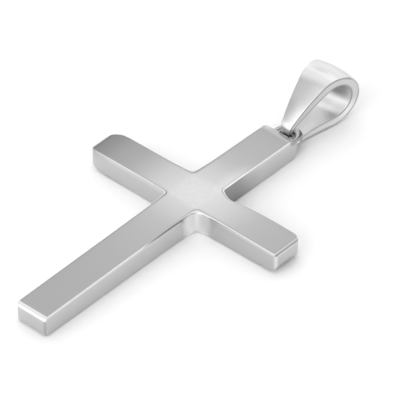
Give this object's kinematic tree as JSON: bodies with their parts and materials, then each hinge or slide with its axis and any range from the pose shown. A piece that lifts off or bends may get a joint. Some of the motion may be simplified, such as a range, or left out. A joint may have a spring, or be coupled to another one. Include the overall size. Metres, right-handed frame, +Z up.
{
  "type": "cross pendant with bail",
  "caption": "Plain polished Latin cross lying on its back, with a small eye ring soldered to its head and a tapered teardrop bail threaded through the ring.",
  "frame": {"origin": "under the middle of the whole pendant's box, on the surface that the cross's flat back and the bail's loop rest on", "axes": "+Z up out of the cross's front face; +Y along the upright from foot to head and on to the bail; +X along the crossbar, to the right when the cross is read with its head up"},
  "size_m": [0.0208, 0.0388, 0.0055],
  "materials": {
    "silver": "high polish, plain silver colour"
  },
  "bodies": {
    "root": {"cross": "silver", "bail": "silver"}
  },
  "joints": []
}
